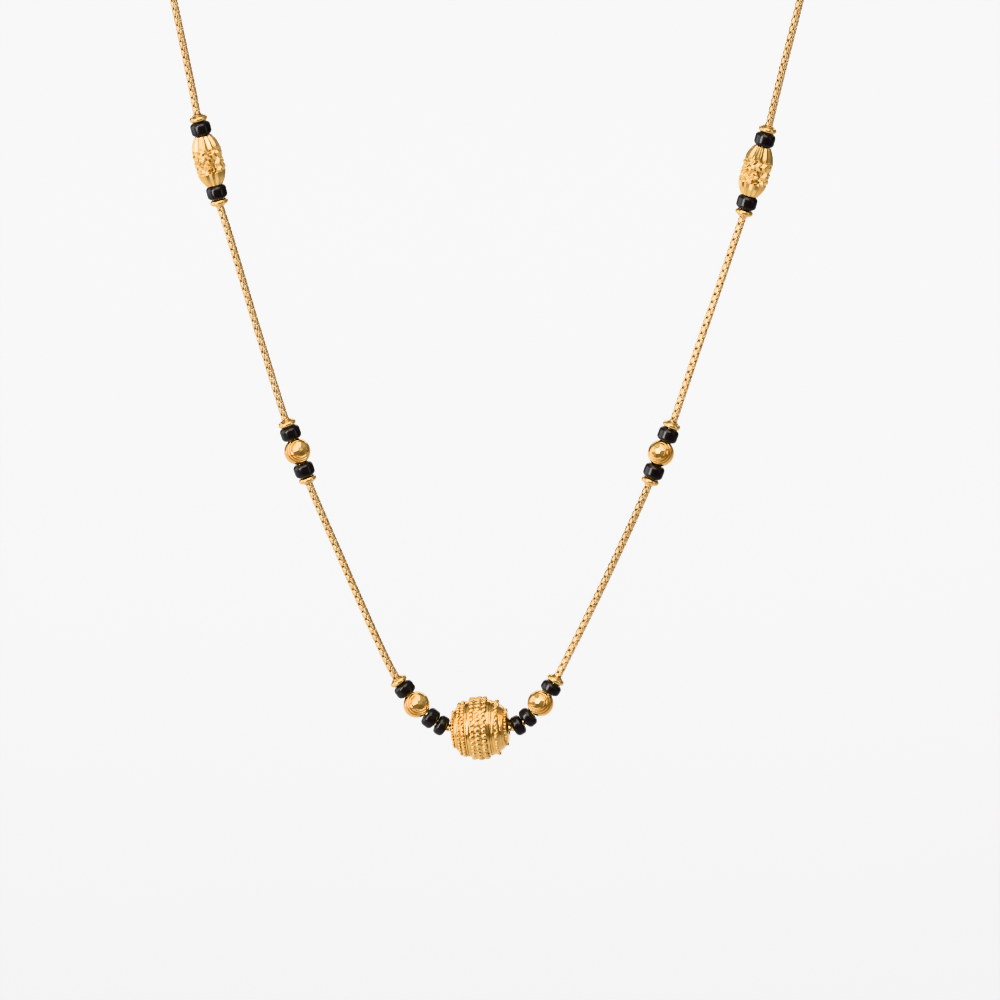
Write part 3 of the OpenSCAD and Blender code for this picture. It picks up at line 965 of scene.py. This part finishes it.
class MANGALSUTRA_OT_caps(bpy.types.Operator):
    """Turns a cap with a round rim and a low dome, and threads ten of them"""

    bl_idname = "mangalsutra.caps"
    bl_label = "Caps"

    def execute(self, context):
        rim = CAP_RIM / 2
        across = CAP_DIAMETER / 2 - rim
        hole = CAP_BORE / 2
        rows = [(-rim, hole + 0.06)]
        rows += arc(across, 0, rim, start=-90, stop=72, steps=16)
        # the dome and the rounded mouths of the bore
        rows += [(rim + 0.01, across + 0.03), (CAP_DOME - 0.13, across - 0.07),
                 (CAP_DOME - 0.04, hole + 0.16), (CAP_DOME, hole + 0.09),
                 (CAP_DOME, hole + 0.05), (CAP_DOME - 0.05, hole), (-rim + 0.05, hole), rows[0]]
        cap = turned("cap", rows, 56)
        shade(cap, 40)
        for node, strand, distance, way in threaded("cap"):
            seat = strand.seat(distance, 0.5)
            # a cap below its group has its dome turned down
            if way < 0:
                seat = seat @ Matrix.Rotation(math.pi, 4, "X")
            settle(cap, node + "_turned", seat, "polished_gold", "gold", node)
        discard(cap)
        return {"FINISHED"}


class MANGALSUTRA_OT_glass_beads(bpy.types.Operator):
    """Turns the black glass beads in their three thicknesses and threads fourteen of them"""

    bl_idname = "mangalsutra.glass_beads"
    bl_label = "Glass Beads"

    def bead(self, thick, edge):
        """A round-edged bead with a softened bore."""
        flat = thick / 2 - edge
        across = BEAD_DIAMETER / 2 - edge
        rows = [(-thick / 2 + 0.02, BORE_RADIUS + 0.08)]
        rows += arc(across, -flat, edge, start=-90, stop=0, steps=9)
        rows += arc(across, flat, edge, start=0, stop=90, steps=9)
        rows += [(thick / 2 - 0.02, BORE_RADIUS + 0.08), (thick / 2 - 0.1, BORE_RADIUS),
                 (-thick / 2 + 0.1, BORE_RADIUS), rows[0]]
        bead = turned("bead", rows, 64)
        shade(bead, 50)
        return bead

    def execute(self, context):
        rounds = {BEAD_THICKNESS: GLASS_ROUND, NEAR_THICKNESS: NEAR_ROUND,
                  THIN_THICKNESS: NEAR_ROUND}
        models = {thick: self.bead(thick, edge) for thick, edge in rounds.items()}
        chance = random.Random(5)
        for node, strand, distance, thick in threaded("bead"):
            seat = strand.seat(distance, thick / 2, AIM.get(node, 0.0))
            seat = seat @ Matrix.Rotation(chance.uniform(0, 6.28), 4, "Z")
            settle(models[thick], node + "_glass", seat, "black_glass_beads", "black_glass", node)
        discard(*models.values())
        return {"FINISHED"}


class MANGALSUTRA_OT_clasp(bpy.types.Operator):
    """Turns the barrel of the clasp and sets a wire eye at each end"""

    bl_idname = "mangalsutra.clasp"
    bl_label = "Clasp"

    def execute(self, context):
        r, h = CLASP_DIAMETER / 2, CLASP_LENGTH / 2
        # half of the body: a rounded end, the straight side and the groove round the middle
        half = [(-h, r * 0.3), (-h, r * 0.42), (-h + 0.06, r * 0.52), (-h + 0.3, r * 0.79),
                (-h + 0.5, r * 0.9), (-h + 0.85, r * 0.99), (-h + 1.0, r),
                (-0.3, r), (-0.24, r * 0.985), (-0.12, r * 0.93)]
        rows = half + [(-z, out) for z, out in reversed(half)]
        body = turned("clasp_body", rows, 72, ring=False)
        bpy.ops.object.mode_set(mode="EDIT")
        choose(body, "EDGE", lambda edge: edge.is_boundary)
        bpy.ops.mesh.edge_face_add()
        close_up()
        bpy.ops.object.mode_set(mode="OBJECT")
        body.data.transform(Matrix.Rotation(math.pi / 2, 4, "Y"))
        parts = [body]
        for way in SIDES.values():
            eye = add(bpy.ops.mesh.primitive_torus_add, major_radius=EYE_RADIUS,
                      minor_radius=EYE_WIRE / 2, major_segments=48, minor_segments=20)
            eye.data.transform(Matrix.Translation((way * EYE_AT, 0, 0)))
            parts.append(eye)
        join(parts)
        shade(body, 35)
        settle(body, "clasp_polished", Matrix.Translation((0, r, 0)), "polished_gold", "gold",
               "clasp")
        discard(body)
        return {"FINISHED"}


class MANGALSUTRA_OT_stage(bpy.types.Operator):
    """Lays the pale floor and wall, and sets the soft lights and the camera"""

    bl_idname = "mangalsutra.stage"
    bl_label = "Stage"

    sensor = 36
    # focal length for each metre of distance, which keeps the necklace's size in the picture
    lens_for_metre = 240

    def light(self, name, place, aim, size, power, colour=(1, 1, 1)):
        """A soft light, given its width and height, that looks at a point."""
        lamp = add(bpy.ops.object.light_add, type="AREA", location=place)
        lamp.name = lamp.data.name = name
        lamp.data.shape = "RECTANGLE"
        lamp.data.size, lamp.data.size_y = size
        lamp.data.energy = power
        lamp.data.color = colour
        lamp.rotation_euler = (Vector(aim) - Vector(place)).to_track_quat("-Z", "Y").to_euler()

    def lay_paper(self, sizes):
        """The floor, which rises at the back to a wall through a wide bend."""
        floor = begin("floor_paper", bpy.ops.mesh.primitive_plane_add, size=6)
        choose(floor, "EDGE", lambda edge: all(v.co.y > 0 for v in edge.verts))
        bpy.ops.mesh.extrude_edges_move(TRANSFORM_OT_translate={"value": (0, 0, 4)})
        choose(floor, "EDGE",
               lambda edge: all(v.co.y > 0 and abs(v.co.z) < 0.01 for v in edge.verts))
        bpy.ops.mesh.bevel(offset=1.2, offset_type="OFFSET", segments=12, affect="EDGES")
        bpy.ops.object.mode_set(mode="OBJECT")
        floor.data.transform(Matrix.Translation((0, 0, sizes.floor)))
        shade(floor, 60)
        material, tree, surface, place = new_material("pale_paper")
        paper = tuple(sizes.paper)
        cloud = noise(tree, place, scale=0.01, detail=3)
        tone = ramp(tree, cloud, [(0.3, shaded(paper, 0.995)), (0.7, paper)])
        tree.links.new(tone, surface.inputs["Base Color"])
        fill(surface, {"Roughness": 0.9, "Specular IOR Level": 0.1})
        floor.data.materials.append(material)

    def light_room(self, sizes):
        """The room all round: brown below, grey beside the necklace, white above."""
        world = bpy.data.worlds.new("studio_room")
        bpy.context.scene.world = world
        world.use_nodes = True
        tree = world.node_tree
        room = tree.nodes["Background"]
        fill(room, {"Strength": sizes.sky})
        direction = tree.nodes.new("ShaderNodeTexCoord")
        split = tree.nodes.new("ShaderNodeSeparateXYZ")
        tree.links.new(direction.outputs["Generated"], split.inputs["Vector"])
        height = between(tree, split.outputs["Z"], 0, 1, first=-0.5, last=0.9)
        walls = ramp(tree, height, [(0.0, (0.26, 0.18, 0.12)), (0.36, (0.38, 0.345, 0.31)),
                                    (1.0, (1, 1, 1))])
        # past the edge of the paper the camera sees a pale wall, and the gold still
        # reflects the room
        seen = tree.nodes.new("ShaderNodeLightPath")
        mix = tree.nodes.new("ShaderNodeMix")
        mix.data_type = "RGBA"
        tree.links.new(seen.outputs["Is Camera Ray"], mix.inputs["Factor"])
        tree.links.new(walls, mix.inputs["A"])
        fill(mix, {"B": (1.1, 1.1, 1.1, 1)})
        tree.links.new(mix.outputs["Result"], room.inputs["Color"])

    def aim_camera(self, sizes):
        """The camera looks down a little on the leaning front, on to the middle of the picture."""
        aim = leaning(1.95, -0.6845 * FRONT_DROP) * MILLIMETRE
        tilt = LEAN + sizes.rise
        back = sizes.away * Vector((0, -math.cos(tilt), math.sin(tilt)))
        camera = add(bpy.ops.object.camera_add, location=aim + back,
                     rotation=(math.pi / 2 - tilt, 0, 0))
        camera.name = camera.data.name = "picture_camera"
        camera.data.sensor_width = self.sensor
        camera.data.lens = self.lens_for_metre * sizes.away
        camera.data.clip_start = 0.05
        camera.data.clip_end = 20
        bpy.context.scene.camera = camera

    def execute(self, context):
        sizes = context.scene.mangalsutra_stage
        self.lay_paper(sizes)
        self.light_room(sizes)
        middle = Vector((0, -0.07, -0.09))
        self.light("key_light", (-0.85, -0.95, 0.35), middle, (0.4, 1.2), sizes.key,
                   (1, 0.985, 0.96))
        self.light("side_light", (-1.2, -0.05, 0), middle, (1.1, 1.1), sizes.side)
        self.light("fill_light", (1.0, -0.6, 0.1), middle, (0.25, 0.8), sizes.fill)
        self.light("top_light", (0, -0.6, 1.15), middle, (1.2, 1.3), sizes.top)
        self.light("paper_light", (0, 1.2, 0.1), (0, 1.2, -0.6), (1.4, 0.6), sizes.back)
        context.scene.view_settings.view_transform = "Khronos PBR Neutral"
        self.aim_camera(sizes)
        return {"FINISHED"}


class MANGALSUTRA_PT_pieces(bpy.types.Panel):
    """Lists the pieces, their sizes and colours"""

    bl_idname = "MANGALSUTRA_PT_pieces"
    bl_label = "Mangalsutra"
    bl_space_type = "VIEW_3D"
    bl_region_type = "UI"
    bl_category = "Mangalsutra"

    def draw(self, context):
        layout = self.layout
        scene = context.scene
        for key in GROUPS:
            group = getattr(scene, key)
            box = layout.box()
            box.label(text=key.removeprefix("mangalsutra_").title())
            for name in group.__annotations__:
                box.prop(group, name)
        column = layout.column(align=True)
        for operator in OPERATORS:
            column.operator(operator.bl_idname)


OPERATORS = (
    MANGALSUTRA_OT_stage,
    MANGALSUTRA_OT_chains,
    MANGALSUTRA_OT_centre_ball,
    MANGALSUTRA_OT_barrels,
    MANGALSUTRA_OT_small_balls,
    MANGALSUTRA_OT_caps,
    MANGALSUTRA_OT_glass_beads,
    MANGALSUTRA_OT_clasp,
)
GROUPS = {
    "mangalsutra_colours": GoldColours,
    "mangalsutra_links": LinkSizes,
    "mangalsutra_relief": ReliefSizes,
    "mangalsutra_stage": StageSizes,
}


def register():
    for group in GROUPS.values():
        bpy.utils.register_class(group)
    for name, group in GROUPS.items():
        setattr(bpy.types.Scene, name, PointerProperty(type=group))
    for operator in OPERATORS:
        bpy.utils.register_class(operator)
    bpy.utils.register_class(MANGALSUTRA_PT_pieces)


def unregister():
    bpy.utils.unregister_class(MANGALSUTRA_PT_pieces)
    for operator in reversed(OPERATORS):
        bpy.utils.unregister_class(operator)
    for name, group in reversed(GROUPS.items()):
        delattr(bpy.types.Scene, name)
        bpy.utils.unregister_class(group)


def main():
    register()
    bpy.ops.mangalsutra.stage()
    bpy.ops.mangalsutra.chains()
    bpy.ops.mangalsutra.centre_ball()
    bpy.ops.mangalsutra.barrels()
    bpy.ops.mangalsutra.small_balls()
    bpy.ops.mangalsutra.caps()
    bpy.ops.mangalsutra.glass_beads()
    bpy.ops.mangalsutra.clasp()


if __name__ == "__main__":
    main()
